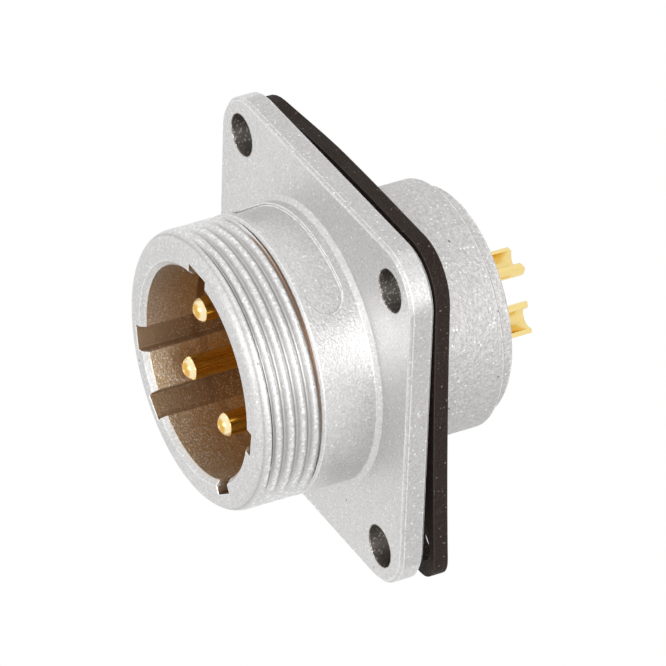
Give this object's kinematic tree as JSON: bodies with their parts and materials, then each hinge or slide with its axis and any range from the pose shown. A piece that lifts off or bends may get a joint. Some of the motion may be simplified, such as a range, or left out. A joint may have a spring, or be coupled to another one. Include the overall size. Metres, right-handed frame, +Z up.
{
  "type": "circular connector receptacle",
  "caption": "Square-flange panel receptacle with a threaded, keyed socket, domed pins and rear solder cups, and a loose gasket that bows off the flange.",
  "frame": {"origin": "on the connector's axis, in the plane of the flange's rear face, at the middle of the fixing holes", "axes": "-Y towards the mating socket, +Y towards the solder cups, +X to the right seen from the mating side, +Z up towards the label pad"},
  "size_m": [0.03, 0.0267, 0.03],
  "materials": {
    "plated_casting": "satin",
    "gasket_rubber": "matte",
    "insulator_resin": "matte",
    "spring_steel": "satin",
    "gold_plate": "polished"
  },
  "bodies": {
    "root": {"shell": "plated_casting", "flange_gasket": "gasket_rubber", "front_insulator": "insulator_resin", "rear_insulator": "insulator_resin", "retaining_ring": "spring_steel", "pin_contact_1": "gold_plate", "pin_contact_2": "gold_plate", "pin_contact_3": "gold_plate", "pin_contact_4": "gold_plate", "pin_contact_5": "gold_plate"}
  },
  "joints": []
}
